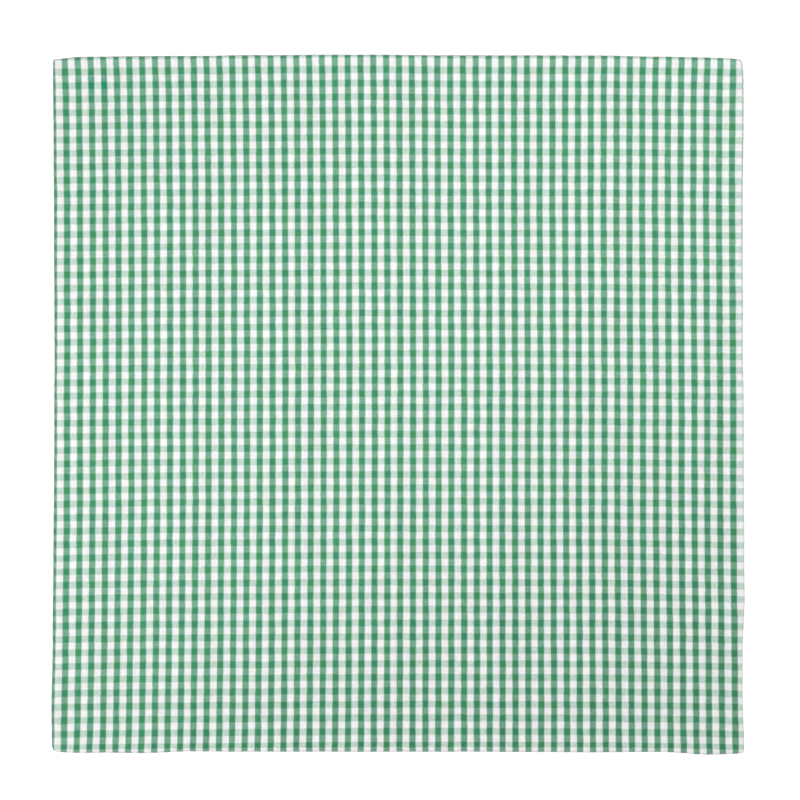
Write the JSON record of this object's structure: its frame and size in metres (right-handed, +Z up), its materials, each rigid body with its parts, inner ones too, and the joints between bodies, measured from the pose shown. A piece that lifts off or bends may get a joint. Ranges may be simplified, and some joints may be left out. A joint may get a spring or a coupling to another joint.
{
  "type": "handkerchief",
  "caption": "Square woven cotton handkerchief in a small even green and white check, with a narrow rolled hem all round, lying open and almost flat.",
  "frame": {"origin": "on the surface that the cloth lies on, under the middle of the cloth", "axes": "+Z up from the surface, +X to the cloth's right edge and +Y to its top edge as it lies face up"},
  "size_m": [0.3434, 0.347, 0.003],
  "materials": {
    "checked_cotton": "matt green and white checked cotton in a fine plain weave"
  },
  "bodies": {
    "root": {"cloth": "checked_cotton"}
  },
  "joints": []
}
